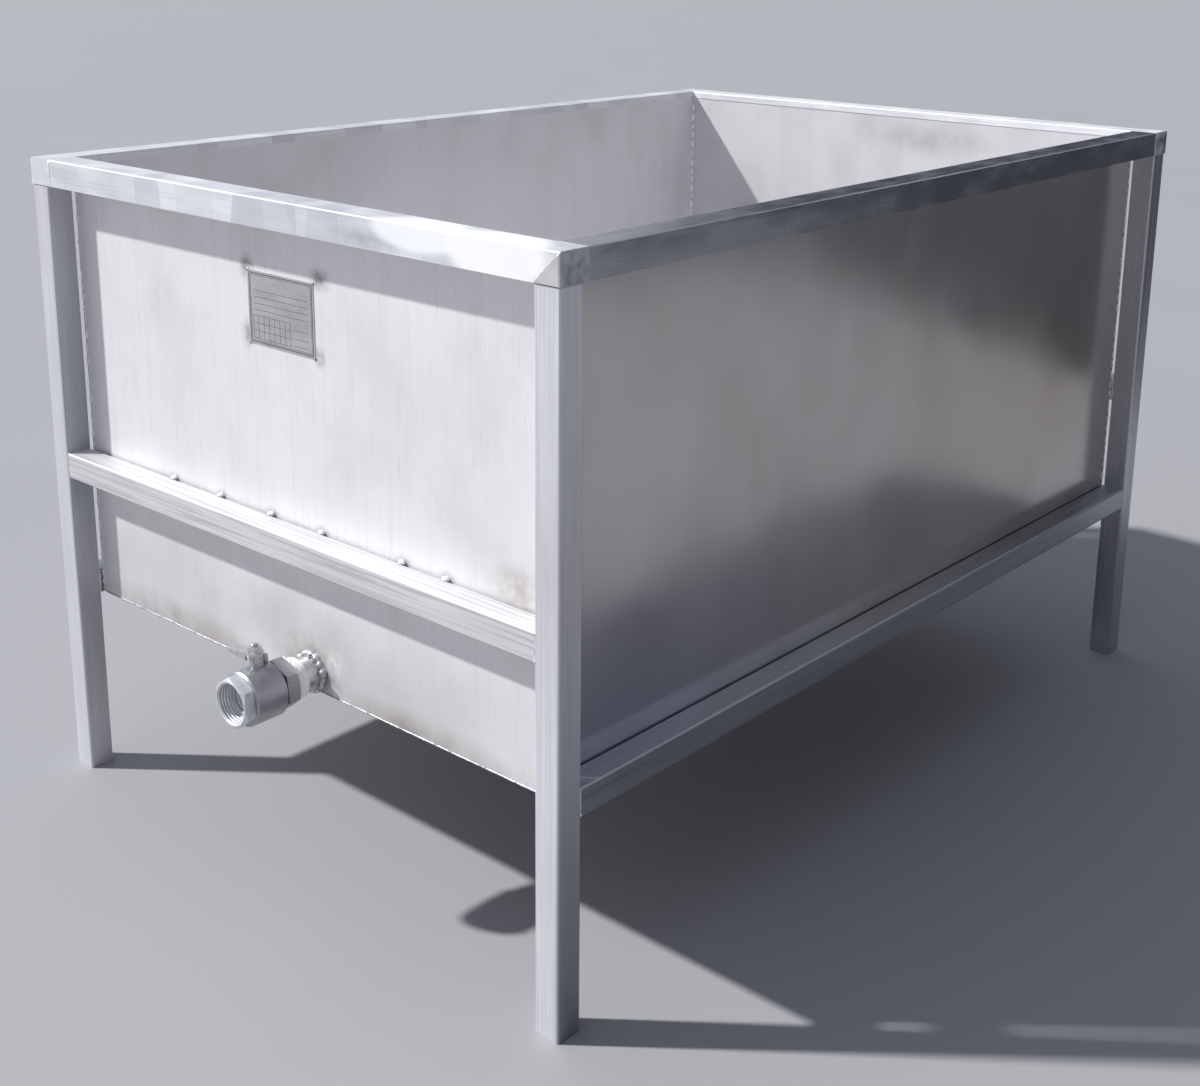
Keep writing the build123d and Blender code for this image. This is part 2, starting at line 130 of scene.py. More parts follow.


# Colour and roughness of a surface from its look. Each tint, patch of painted light, stain and patch of
# painted shade covers those before it.
def layLook(tree, place, look):
    axis = look.get("axis", 2)
    layers = [(tint, marks(tree, place, size, axis, high=amount, **more))
              for tint, amount, size, more in look["tints"]]
    layers += [(tint, spotMask(tree, place, centre, reach, amount))
               for tint, amount, centre, reach in look.get("paintedLight", ())]
    for tint, amount, centre, reach in look.get("stainsAndShade", ()):
        cloud = max(10, max(reach) / 5)    # millimetres
        broken = marks(tree, place, (cloud, cloud), axis, **stainCloud)
        cover = addNode(tree, "ShaderNodeMath", {"operation": "MULTIPLY", "use_clamp": True},
                        {0: spotMask(tree, place, centre, reach, amount), 1: broken})
        layers.append((tint, cover))
    if "pads" in look:
        # Overlapping strokes of a sanding pad: blocks of even tone with crisp edges
        tint, amount, across, along = look["pads"]
        spread = addNode(tree, "ShaderNodeMapping", {"Scale": markScale((across, along), axis)},
                         {"Vector": place})
        blocks = addNode(tree, "ShaderNodeTexVoronoi", {"Scale": 1.0, "Randomness": 0.9},
                         {"Vector": spread})
        tone = addNode(tree, "ShaderNodeSeparateColor", (), {0: blocks.outputs["Color"]})
        cover = addNode(tree, "ShaderNodeMapRange", {"From Min": 0.2, "To Max": amount},
                        {"Value": tone})
        layers.append((tint, cover))
    colour = None
    for tint, cover in layers:
        under = {6: colour} if colour else {}
        colour = addNode(tree, "ShaderNodeMix",
                         {"data_type": "RGBA", 6: linear(look["base"]), 7: linear(tint)},
                         {0: cover, **under}).outputs[2]
    low, high, size, more = look["rough"]
    return colour, marks(tree, place, size, axis, low=low, high=high, **more)


# A material from its look. Object coordinates give the place on the rest model, in metres.
def makeFinish(name, look):
    material = bpy.data.materials.new(name)
    material.use_nodes = True
    tree = material.node_tree
    tree.nodes.clear()
    place = addNode(tree, "ShaderNodeTexCoord").outputs["Object"]
    colour, rough = layLook(tree, place, look)
    links = {"Base Color": colour, "Roughness": rough}
    metallic = look["metallic"]
    if "ground" in look:
        # A ground patch scatters light like white paint, and the skin round it stays a mirror; its
        # near-white tint is partly a painted highlight for the sun's glare
        low, high, size, more = metallic
        shine = marks(tree, place, size, look["axis"], low=low, high=high, **more)
        for amount, centre, reach in look["ground"]:
            patch = spotMask(tree, place, centre, reach, amount, soft=0.3)
            colour = addNode(tree, "ShaderNodeMix", {"data_type": "RGBA", 7: linear(look["groundTint"])},
                             {0: patch, 6: colour}).outputs[2]
            lost = addNode(tree, "ShaderNodeMath", {"operation": "MULTIPLY"}, {0: shine, 1: patch})
            shine = addNode(tree, "ShaderNodeMath", {"operation": "SUBTRACT"}, {0: shine, 1: lost})
        links.update({"Metallic": shine, "Base Color": colour})
    if "inside" in look:
        # The inner face of a folded sheet has its own look
        inner = look["inside"]
        innerColour, innerRough = layLook(tree, place, inner)
        parts = addNode(tree, "ShaderNodeSeparateXYZ", (), {0: place})
        across = addNode(tree, "ShaderNodeMath", {"operation": "ABSOLUTE"}, {0: parts.outputs[0]})
        within = addNode(tree, "ShaderNodeMath", {"operation": "LESS_THAN", 1: look["half"]},
                         {0: across})
        above = addNode(tree, "ShaderNodeMath", {"operation": "GREATER_THAN", 1: look["bottom"]},
                        {0: parts.outputs[2]})
        side = addNode(tree, "ShaderNodeMath", {"operation": "MULTIPLY"}, {0: within, 1: above})
        links["Base Color"] = addNode(tree, "ShaderNodeMix", {"data_type": "RGBA"},
                                      {0: side, 6: colour, 7: innerColour}).outputs[2]
        links["Roughness"] = addNode(tree, "ShaderNodeMix", (), {0: side, 2: rough, 3: innerRough})
        links["Metallic"] = addNode(tree, "ShaderNodeMapRange",
                                    {"To Min": metallic, "To Max": inner["metallic"]},
                                    {"Value": side})
    normal = None
    for depth, size, more in look["relief"]:
        layer = {"Height": marks(tree, place, size, look.get("axis", 2), **more)}
        if normal:
            layer["Normal"] = normal
        normal = addNode(tree, "ShaderNodeBump", {"Distance": depth * mm}, layer)
    if "thread" in look:
        # Thread of the mouth: ridges along the bore's axis, only near the mouth
        parts = addNode(tree, "ShaderNodeSeparateXYZ", (), {0: place})
        turns = addNode(tree, "ShaderNodeMath", {"operation": "MULTIPLY", 1: 1 / (look["thread"] * mm)},
                        {0: parts.outputs[1]})
        ridge = addNode(tree, "ShaderNodeMath", {"operation": "PINGPONG", 1: 0.5}, {0: turns})
        mouth = spotMask(tree, place, look["mouth"], look["mouthReach"], soft=0.02)
        cut = addNode(tree, "ShaderNodeMath", {"operation": "MULTIPLY"}, {0: ridge, 1: mouth})
        normal = addNode(tree, "ShaderNodeBump", {"Distance": look["threadDepth"] * mm},
                         {"Height": cut, "Normal": normal})
    if normal:
        links["Normal"] = normal
    settings = {} if "Metallic" in links else {"Metallic": metallic}
    shader = addNode(tree, "ShaderNodeBsdfPrincipled", settings, links)
    addNode(tree, "ShaderNodeOutputMaterial", (), {"Surface": shader})
    return material


# Places on the vat that the finishes and the welds refer to, all read from the frame
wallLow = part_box("tank_wall_front")[0]
backLow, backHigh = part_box("tank_wall_back")
shellLow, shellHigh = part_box("tank_shell")
plateLow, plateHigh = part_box("nameplate")
pipeLow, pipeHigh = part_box("drain_pipe")
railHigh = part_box("rail_front")[1]
capLow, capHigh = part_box("rim_cap_front")
legLow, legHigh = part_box("leg_front_left")
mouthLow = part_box("valve_end_cap")[0]
bottomEdge = wallLow[2]
drainPlace = Vector(((pipeLow[0] + pipeHigh[0]) / 2, wallLow[1], (pipeLow[2] + pipeHigh[2]) / 2))
tackBoxes = [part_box(f"rail_tack_{number}") for number in range(1, 7)]
tackPlaces = [Vector(((low[0] + high[0]) / 2, wallLow[1], low[2])) for low, high in tackBoxes]

broad = {"detail": 1, "band": (0.2, 0.8)}
patchy = {"detail": 4, "band": (0.4, 0.7)}

# Stainless sheet scrubbed by hand after welding: pale and almost matt, with broad clouds
scrubbedInside = {
    "base": "#E2E1E3", "metallic": 0.4, "rough": (0.46, 0.58, (110, 150), {}),
    "tints": [("#C5C3C3", 0.4, (130, 170), {"detail": 6, "band": (0.5, 0.74)}),
              ("#D1CFCE", 0.2, (16, 300), {"detail": 5, "band": (0.52, 0.72), "shift": 8.8})],
}

# The tank's sheet outside, cold rolled and pickled: a soft warm grey mirror, buckled a little where
# it is held
rolledSheet = {
    "base": "#CAC6C4", "metallic": 0.76, "rough": (0.14, 0.21, (170, 240), {}),
    "half": shellHigh[0] - 0.75 * mm, "bottom": shellLow[2] + 0.75 * mm, "inside": scrubbedInside,
    "tints": [("#ADA69F", 0.45, (190, 260), {"detail": 5, "band": (0.42, 0.72), "shift": 7.7}),
              ("#CFCDCC", 0.25, (26, 380), {"detail": 4, "band": (0.48, 0.8), "shift": 1.3})],
    "relief": [(2.0, (400, 400), broad)],
    # Painted reflections on the right side: darker and warmer towards the far end, bluish low at the
    # near end
    "paintedLight": [("#B4AAA2", 0.6, (shellHigh[0], 0.56, 0.62), (12, 900, 420)),
              ("#B3BAD2", 0.6, (shellHigh[0], -0.62, 0.34), (12, 560, 300))],
}

# Floor stiffeners, the same sheet left as it came
hatSheet = {
    "base": "#C2BFBD", "metallic": 0.8, "rough": (0.24, 0.32, (170, 240), {}),
    "tints": [("#A8A29D", 0.4, (120, 160), {"detail": 5, "band": (0.42, 0.72)})],
    "relief": [(0.5, (160, 160), broad)],
}

# Tint, strength, place and reach in millimetres of the marks that welding left on the front wall
frontStains = [
    ("#C4C0BD", 0.7, (0.0, wallLow[1], bottomEdge + 0.06), (900, 40, 170)),          # duller low down
    ("#8F857C", 0.8, tuple(drainPlace), (85, 40, 75)),                               # straw and grey
    ("#5F5964", 0.75, tuple(drainPlace), (46, 40, 42)),
    ("#F8F6F4", 0.9, tuple(drainPlace + Vector((0.05, 0, 0.024))), (34, 40, 30)),    # wire brushed
    ("#948B83", 0.7, (-0.3, wallLow[1], bottomEdge), (290, 40, 52)),
    ("#958D86", 0.7, (0.24, wallLow[1], bottomEdge), (320, 40, 40)),
    ("#7C7976", 0.75, (plateLow[0] - 0.002, wallLow[1], plateHigh[2] + 0.002), (22, 40, 28)),
    ("#84817E", 0.75, (plateHigh[0] + 0.012, wallLow[1], plateHigh[2] + 0.006), (30, 40, 22)),
    ("#979390", 0.6, (plateLow[0] - 0.006, wallLow[1], plateLow[2] + 0.012), (20, 40, 30)),
    ("#8B8784", 0.6, (plateHigh[0] + 0.007, wallLow[1], plateLow[2] + 0.004), (20, 40, 20)),
    ("#B2A9A1", 0.6, (0.43, wallLow[1], railHigh[2] + 0.02), (70, 40, 46)),
]
frontStains += [("#938B83", 0.65, tuple(spot), (20, 40, 16)) for spot in tackPlaces]

# End wall at the drain, scrubbed sheet: nearly white in the sun, stained by the welds
frontSheet = {
    "base": "#EEECED", "metallic": 0.34, "rough": (0.5, 0.62, (110, 150), {}), "stainsAndShade": frontStains,
    "tints": [("#D3D0CE", 0.5, (150, 190), {"detail": 6, "band": (0.48, 0.72), "shift": 4.4}),
              ("#DEDCDB", 0.3, (12, 260), {"detail": 5, "band": (0.5, 0.72), "shift": 8.8}),
              # Scuffs
              ("#B9B5B2", 0.35, (1.6, 70), {"detail": 2, "band": (0.66, 0.72), "shift": 2.6})],
    "relief": [(1.2, (260, 260), {**broad, "shift": 5.2})],
}

# The other end wall: the same, with darker clouds high up
backSheet = {
    **scrubbedInside,
    "stainsAndShade": [("#948B83", 0.7, (0.0, backHigh[1], bottomEdge), (480, 40, 45)),
               ("#B4B0AC", 0.55, (0.1, backLow[1], backHigh[2] - 0.05), (200, 40, 45)),
               ("#BDB9B5", 0.45, (0.38, backLow[1], backHigh[2] - 0.1), (160, 40, 60))],
    "relief": [(1.2, (260, 260), {**broad, "shift": 5.2})],
}

# Square stainless tube, ground along its length: fine lines that stretch every highlight along the tube
groundTube = {
    "base": "#E6E6EA", "metallic": 0.46, "rough": (0.44, 0.58, (5, 420), {"shift": 2.9}),
    "tints": [("#BFC0C6", 0.45, (2.2, 260), {"detail": 5}),        # lines drawn wider than real to show
              ("#C2C0BF", 0.45, (90, 260), {**patchy, "shift": 6.1})],
    "relief": [(0.012, (2.2, 260), {"detail": 5}), (0.02, (5, 420), {"shift": 2.9})],
}

# The front legs: the same tube, with painted bluish shade on the faces turned to the right
legTube = {
    **groundTube,
    "paintedLight": [("#6F7482", 0.8, (capHigh[0] - 0.001, capLow[1] + 0.02, 0.0), (9, 90, 700)),
              ("#868B98", 0.6, (legHigh[0], legLow[1] + 0.02, 0.6), (9, 90, 620))],
}

# Front rail: ground hard along its top, where grey streaks lie between the welds
frontTube = {
    **groundTube, "axis": 0, "base": "#DBDBDC", "metallic": 0.3,
    "rough": (0.52, 0.64, (5, 420), {"shift": 2.9}),
    "tints": [("#A9A8AB", 0.6, (4.5, 240), {"detail": 5, "band": (0.45, 0.62)}),
              ("#C2C0BF", 0.45, (60, 200), {**patchy, "shift": 6.1})],
}

# The two long rails, tube left as drawn: smoother and darker, with a few long scores
drawnTube = {
    "base": "#A6A8B0", "metallic": 0.88, "axis": 1, "rough": (0.26, 0.38, (5, 420), {}),
    "tints": [("#D4D5D9", 0.4, (2.2, 260), {"detail": 4, "band": (0.52, 0.7)}),
              ("#9B9CA3", 0.4, (70, 240), {**patchy, "shift": 6.1})],
    "relief": [(0.01, (2.2, 260), {"detail": 5})],
}

# Folded cap sheet, sanded bright by hand: short overlapping patches, and some ground nearly white, where
# the near-white tint is partly a painted highlight
padMarks = {"detail": 2, "band": (0.34, 0.66), "shift": 6.6}
sandedCap = {
    "base": "#EAEAEC", "metallic": (0.52, 0.4, (30, 80), padMarks),
    "ground": [], "groundTint": "#FBFBFC",
    "rough": (0.46, 0.6, (30, 80), padMarks), "pads": ("#C6C7CE", 0.7, 260, 75),
    "tints": [("#C2C3C9", 0.45, (2.6, 150), {"detail": 5}),        # sanding lines, drawn wider than real
              ("#F4F4F5", 0.45, (30, 80), padMarks)],
    "relief": [(0.6, (110, 160), {**broad, "shift": 1.7}), (0.01, (2.6, 150), {"detail": 5})],
}

# Cap over the drain: ground hardest at its corners and where it was dressed after folding. Two ground
# patches near its right end carry a painted highlight, and its end face turned to the right carries
# painted bluish shade.
frontCap = {
    **sandedCap, "axis": 0,
    # Painted highlight: near-white glare on two ground patches near the right end
    "ground": [(0.95, (capHigh[0] - 0.1, capLow[1], capHigh[2] - 0.014), (95, 60, 46)),
               (0.85, (capHigh[0] - 0.23, capLow[1], capHigh[2] - 0.006), (95, 60, 30))],
    "stainsAndShade": [("#B4B5BC", 0.7, (capHigh[0] - 0.33, capLow[1], capHigh[2] - 0.03), (90, 40, 26)),
               # Painted bluish shade on the end face turned to the right
               ("#777B8B", 0.9, (capHigh[0], capLow[1] + 0.026, capHigh[2] - 0.03), (7, 60, 70))],
}

# The back cap, ground all over with a coarse disc: it scatters the sun and looks almost white, with
# painted dark shade on its end face turned to the right
discedCap = {
    **sandedCap, "axis": 0, "base": "#F2F2F3", "metallic": (0.3, 0.14, (30, 80), padMarks),
    "pads": ("#D6D7DC", 0.4, 260, 75),
    # Painted dark shade on the end face turned to the right
    "stainsAndShade": [("#74767E", 1.0, (capHigh[0], backHigh[1] + 0.04, capHigh[2] - 0.02), (10, 80, 60)),
               ("#8C8D94", 0.8, (0.12, backHigh[1] - 0.03, capHigh[2]), (240, 12, 20))],
}

# The front cap's corner folded over the end, greyer where it was hammered flat
cornerSheet = {
    **sandedCap, "axis": 0, "base": "#CFCDCB", "metallic": (0.4, 0.3, (30, 80), padMarks),
    "pads": ("#C3C1C0", 0.4, 40, 30),
    "tints": [("#A8A6A4", 0.5, (14, 14), {"detail": 5, "band": (0.45, 0.7)})],
}

# The cap on the drain's right, left as rolled: a dark clear mirror with thumb marks, and a painted dark
# bluish reflection along its top
rolledCap = {
    "base": "#B0B2B8", "metallic": 0.96, "axis": 1, "rough": (0.18, 0.32, (40, 90), {"detail": 4}),
    "tints": [("#CFD0D4", 0.4, (3, 220), {"detail": 4, "band": (0.5, 0.7)}),
              ("#9A9BA2", 0.4, (60, 140), {"detail": 3, "band": (0.35, 0.7), "shift": 3.8})],
    # Painted dark bluish reflection along the front half of the top
    "stainsAndShade": [("#7F818C", 0.75, (capHigh[0], -0.38, capHigh[2]), (60, 230, 9))],
    "relief": [(0.6, (110, 160), {**broad, "shift": 1.7}), (0.008, (3, 220), {"detail": 4})],
}

# Investment cast stainless steel, shot blasted: an even grey, with a fine grit that kills sharp
# reflections
castSteel = {
    "base": "#A5A6AC", "metallic": 0.78, "rough": (0.32, 0.42, (22, 22), {}),
    "tints": [("#8F9096", 0.5, (22, 22), {**patchy, "shift": 2.2}),
              ("#C9CACD", 0.4, (2.2, 2.2), {"detail": 3})],
    "relief": [(0.05, (1.4, 1.4), {"detail": 4})],                 # grit drawn coarser than real to show
}

# The outlet piece, the same casting with its wrench flats milled: brighter, and threaded inside
castMouth = {
    **castSteel, "base": "#E2E3E6", "metallic": 0.55, "axis": 1,
    "tints": [("#A9A9AD", 0.55, (22, 22), {**patchy, "shift": 2.2})],
    "relief": [(0.03, (30, 1.6), {"detail": 3})],
    "thread": 4.6, "threadDepth": 3.0,     # twice the real pitch, so that it shows
    "mouth": (drainPlace[0], mouthLow[1] + 0.012, drainPlace[2]),
    "mouthReach": (29.5, 80, 29.5),        # a little wider than the bore
}

# Stainless bar turned on a lathe: bright, with close rings round the pipe's axis
turnedBar = {
    "base": "#D2D2D4", "metallic": 0.85, "axis": 1, "rough": (0.2, 0.32, (60, 1.5), {}),
    "tints": [("#A7A5A4", 0.45, (18, 18), {"detail": 4, "band": (0.45, 0.75), "shift": 3.3})],
    "relief": [(0.02, (60, 1.5), {})],
}

# Ball, ground and polished: a clear mirror with a few handling marks
polishedBall = {
    "base": "#D6D6D8", "metallic": 1.0, "rough": (0.07, 0.2, (6, 6), {"detail": 4, "band": (0.5, 0.7)}),
    "tints": [("#BDBDBF", 0.3, (6, 6), {"detail": 4, "band": (0.5, 0.7)})],
    "relief": [],
}

# Lever blanked and pressed from sheet, tumbled after: rounded sparkle and small knocks
pressedLever = {
    "base": "#CBCCCE", "metallic": 0.75, "rough": (0.26, 0.4, (14, 14), {"detail": 4}),
    "tints": [("#9C9B99", 0.5, (14, 14), {**patchy, "shift": 5.5})],
    "relief": [(0.06, (3, 3), {"band": (0.45, 0.7)})],
}

# Weld metal as it froze, brushed: bright crests, dull straw and blue in the hollows
weldBead = {
    "base": "#F4F4F5", "metallic": 0.4, "rough": (0.24, 0.44, (7, 7), {"detail": 4}),
    "tints": [("#9A918A", 0.5, (7, 7), {"detail": 4, "band": (0.5, 0.72)})],
    "relief": [(0.15, (1.8, 1.8), {"detail": 4, "shift": 4.1})],
}

# The same where most heat went in, left unbrushed: darker, with violet hollows
heatedBead = {
    **weldBead, "base": "#D2D2D5", "metallic": 0.6,
    "tints": [("#625A66", 0.8, (7, 7), {"detail": 4})],
}

# Thread seal tape, PTFE film wound on by hand: soft white, with thin creases round the pipe
sealTape = {
    "base": "#FDFDFC", "metallic": 0.0, "axis": 1, "rough": (0.45, 0.55, (9, 9), {}),
    "tints": [("#E6E6E4", 0.3, (9, 9), {"band": (0.4, 0.7), "shift": 2.0})],
    "relief": [(0.12, (30, 0.9), {"detail": 4})],
}

# Valve seat, PTFE pressed and turned: dense white with a slight waxy shine
turnedPtfe = {
    "base": "#EFEFEC", "metallic": 0.0, "axis": 1, "rough": (0.33, 0.4, (9, 9), {}),
    "tints": [("#DFDFDA", 0.2, (40, 0.8), {"detail": 2})],
    "relief": [(0.02, (40, 0.8), {"detail": 2})],
}

# Nameplate, thin stainless sheet etched all over: flat grey with a dry, sparkling tooth
etchedPlate = {
    "base": "#BEBEC0", "metallic": 0.55, "rough": (0.44, 0.54, (30, 20), {}),
    "tints": [("#9B9B9F", 0.5, (30, 20), {"detail": 5, "band": (0.4, 0.7), "shift": 4.0})],
    "relief": [(0.03, (1.2, 1.2), {})],
}

# Filled lines of the plate: baked enamel, dark and slightly glossy, thin at its edges
plateEnamel = {
    "base": "#32323A", "metallic": 0.0, "rough": (0.36, 0.46, (3, 3), {}),
    "tints": [("#66666C", 0.5, (2.5, 2.5), {"detail": 4, "band": (0.45, 0.7)})],
    "relief": [],
}

# The look of each finish, and the nodes that wear it, by the start of their names
wear = {
    "stainlessRolledSheet": (rolledSheet, "tank_shell"),
    "stainlessHatSheet": (hatSheet, "floor_hat"),
    "stainlessScrubbedFront": (frontSheet, "tank_wall_front"),
    "stainlessScrubbedBack": (backSheet, "tank_wall_back"),
    "stainlessGroundTubeX": ({**groundTube, "axis": 0}, "rail_back", "top_rail_front", "top_rail_back"),
    "stainlessGroundTubeY": ({**groundTube, "axis": 1}, "top_rail_left", "top_rail_right"),
    "stainlessGroundFrontRail": (frontTube, "rail_front"),
    "stainlessDrawnTube": (drawnTube, "rail_left", "rail_right"),
    "stainlessFrontLeg": (legTube, "leg_front", "foot_front"),
    "stainlessBackLeg": ({**drawnTube, "base": "#B6B8C0", "axis": 2}, "leg_back", "foot_back"),
    "stainlessSandedCapX": (frontCap, "rim_cap_front"),
    "stainlessSandedCapY": ({**sandedCap, "axis": 1}, "rim_cap_left"),
    "stainlessDiscedCap": (discedCap, "rim_cap_back"),
    "stainlessRolledCap": (rolledCap, "rim_cap_right"),
    "stainlessFoldedCorner": (cornerSheet,),
    "stainlessWeldBead": (weldBead, "rail_tack"),
    "stainlessHeatedBead": (heatedBead, "drain_weld"),
    "stainlessTurnedBar": (turnedBar, "drain_pipe", "valve_stem", "gland_nut", "lever_nut"),
    "stainlessCastBody": (castSteel, "valve_body"),
    "stainlessCastMouth": (castMouth, "valve_end_cap"),
    "stainlessPolishedBall": (polishedBall, "valve_ball"),
    "stainlessPressedLever": (pressedLever, "valve_lever"),
    "stainlessEtchedPlate": (etchedPlate, "nameplate"),
    "ptfeSealTape": (sealTape, "thread_tape"),
    "ptfeTurnedSeat": (turnedPtfe, "ball_seat", "stem_packing"),
    "plateLineEnamel": (plateEnamel,),
}
finishes = {}
for name, (look, *starts) in wear.items():
    finishes[name] = makeFinish(name, look)
    for node in nodes:
        if node.startswith(tuple(starts)):
            materials = nodes[node].data.materials
            materials.clear()
            materials.append(finishes[name])
print("finishes made:", len(finishes))


# A new piece of the vat from points and faces, all of them turned outward
def makePiece(name, points, faces, finish, slot="weld_metal", smooth=True):
    mesh = bpy.data.meshes.new(name)
    mesh.from_pydata([tuple(point) for point in points], [], faces)
    mesh.validate()
    shape = bmesh.new()
    shape.from_mesh(mesh)
    bmesh.ops.recalc_face_normals(shape, faces=shape.faces)
    shape.to_mesh(mesh)
    shape.free()
    mesh.update()
    if smooth:
        mesh.shade_smooth()
    mesh.materials.append(finishes[finish])
    piece = bpy.data.objects.new(name, mesh)
    bpy.context.scene.collection.objects.link(piece)
    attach(piece, "vat")
    return piece


# Rings of points joined into a skin. Its ends are closed unless it loops.
def skin(rings, looped=False):
    count = len(rings[0])
    points = [point for ring in rings for point in ring]
    faces = []
    for row in range(len(rings) if looped else len(rings) - 1):
        here, there = row * count, (row + 1) % len(rings) * count
        for spot in range(count):
            after = (spot + 1) % count
            faces.append((here + spot, here + after, there + after, there + spot))
    if not looped:
        faces.append(tuple(range(count))[::-1])
        faces.append(tuple((len(rings) - 1) * count + spot for spot in range(count)))
    return points, faces


# Several closed skins as the points and faces of one piece
def skins(rows):
    points, faces = [], []
    for rings in rows:
        more, sides = skin(rings)
        faces += [tuple(len(points) + spot for spot in side) for side in sides]
        points += more
    return points, faces


# Even angles of a full turn
def around(count):
    return [math.tau * step / count for step in range(count)]


# Smooth chance, from about -1 to 1, that closes on itself round a turn
def chance(turn, spread, level):
    return noise.noise(Vector((math.cos(turn) * spread, math.sin(turn) * spread, level)))


# Points every few millimetres on a straight run
def straightPath(start, end, step):
    count = max(2, round((end - start).length / step))
    return [start.lerp(end, index / count) for index in range(count + 1)]


beadSwell = {"least": 0.86, "ripple": 0.2, "wander": 0.28, "ends": (0.45, 0.85, 1.0)}


# Rings of a weld bead laid along a path. Outward gives the side that shows, and the width wanders.
def beadRings(path, outward, width, height, looped=False, pitch=4.0, seed=0.0, sides=10, lean=0.25):
    rings = []
    travelled = 0.0
    last = len(path) - 1
    for index, point in enumerate(path):
        before = path[index - 1] if index or looped else point
        after = path[(index + 1) % len(path)] if index < last or looped else point
        along = (after - before).normalized()
        up = outward[index] if isinstance(outward, list) else outward
        side = along.cross(up).normalized()
        travelled += (point - before).length if index else 0.0
        ripple = abs(math.sin(math.pi * travelled / (pitch * mm)))
        wander = noise.noise(Vector((travelled * 90, seed * 7.3, 1.7)))
        swell = beadSwell["least"] + beadSwell["ripple"] * ripple + beadSwell["wander"] * wander
        if not looped:
            swell *= beadSwell["ends"][min(index, last - index, 2)]
        rings.append([point + side * (math.cos(turn) * width / 2 * swell)
                      + up * (math.sin(turn) * height * swell)
                      - along * (lean * pitch * mm * math.sin(turn)) for turn in around(sides)])
    return rings


railWeld = {
    "width": 6.5, "height": 2.6, "pitch": 4.4, "corner": 3.0, "sideSteps": 22, "arcSteps": 4,
    "sink": 2.7,                           # millimetres, so that no bead stands outside the stand
}


# Weld round the end of a square tube where it meets a leg. Across is the level way over the leg's face.
def railEndWeld(name, centre, across, half, seed):
    up = Vector((0, 0, 1))
    inner = half - railWeld["corner"] * mm
    sideSteps, arcSteps = railWeld["sideSteps"], railWeld["arcSteps"]
    stops = []
    for quarter in range(4):
        turn = Matrix.Rotation(quarter * math.pi / 2, 2)
        way = turn @ Vector((1, 0))
        stops += [(turn @ Vector((half, inner * (2 * step / sideSteps - 1))), way)
                  for step in range(sideSteps + 1)]
        for step in range(1, arcSteps):
            angle = step / arcSteps * math.pi / 2
            way = turn @ Vector((math.cos(angle), math.sin(angle)))
            stops.append((turn @ Vector((inner, inner)) + way * railWeld["corner"] * mm, way))
    outward = [across * way.x + up * way.y for spot, way in stops]
    path = [centre + across * spot.x + up * spot.y - out * railWeld["sink"] * mm
            for (spot, way), out in zip(stops, outward)]
    rings = beadRings(path, outward, railWeld["width"] * mm, railWeld["height"] * mm, looped=True,
                      pitch=railWeld["pitch"], seed=seed)
    makePiece(name, *skin(rings, looped=True), "stainlessWeldBead")


def makeRailWelds():
    seed = 0
    for rail, axis in (("rail_front", 0), ("rail_back", 0), ("rail_left", 1), ("rail_right", 1)):
        low, high = (Vector(corner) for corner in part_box(rail))
        across = Vector((0, 1, 0)) if axis == 0 else Vector((1, 0, 0))
        for end, edge in (("low", low), ("high", high)):
            centre = (low + high) / 2
            centre[axis] = edge[axis]
            seed += 1
            railEndWeld(f"weld_{rail}_{end}", centre, across, (high.z - low.z) / 2, seed)


makeRailWelds()
print("rail welds laid")

tackBead = {
    "length": 13.0, "width": 10.0, "height": 6.0, "rows": 6, "uneven": 0.22,
    "off": 2.5, "below": 1.0,              # its middle, off the wall and below the top of the rail
    "behind": 0.2,                         # millimetres that the lump goes into the wall
}


# Tacks between the front rail and the tank: round uneven lumps of weld metal
def makeTacks():
    for number, spot in enumerate(tackPlaces, start=1):
        rings = []
        for row in range(1, tackBead["rows"] + 1):
            rise = math.sin(row / tackBead["rows"] * math.pi / 2)
            flat = math.cos(row / tackBead["rows"] * math.pi / 2) ** 0.7 + 0.05
            ring = []
            for turn in around(16):
                lump = 1 + tackBead["uneven"] * chance(turn, 1.6, number * 5.1)
                x = math.cos(turn) * flat * lump * tackBead["length"] / 2
                y = min(math.sin(turn) * flat * lump * tackBead["width"] / 2 - tackBead["off"],
                        tackBead["behind"])
                z = rise * lump * tackBead["height"] - tackBead["below"]
                ring.append(spot + Vector((x, y, z)) * mm)
            rings.append(ring)
        tack = makePiece(f"weld_tack_{number}", *skin(rings), "stainlessWeldBead")
        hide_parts(f"rail_tack_{number}")


makeTacks()

drainBead = {
    "radius": 26.3, "wander": 1.5, "width": 12.0, "height": 8.0, "lumps": 14,
    "swell": (0.72, 0.3, 0.35),            # least, then what a lump and chance add
}


# Weld round the drain pipe: a heavy row of lumps, one for each dab of the torch
def makeDrainWeld():
    rings = []
    least, more, uneven = drainBead["swell"]
    for turn in around(drainBead["lumps"] * 8):
        way = Vector((math.cos(turn), 0, math.sin(turn)))
        lump = abs(math.sin(drainBead["lumps"] * turn / 2))
        wander = chance(turn, 3, 4.2)
        swell = least + more * lump + uneven * wander
        centre = drainPlace + way * (drainBead["radius"] + drainBead["wander"] * wander) * mm
        rings.append([centre + way * (math.cos(side) * drainBead["width"] / 2 * swell * mm)
                      - Vector((0, 1, 0)) * (math.sin(side) * drainBead["height"] * swell * mm)
                      for side in around(12)])
    weld = makePiece("drain_weld_lumps", *skin(rings, looped=True), "stainlessHeatedBead")
    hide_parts("drain_weld")


makeDrainWeld()
print("tacks and drain weld laid")

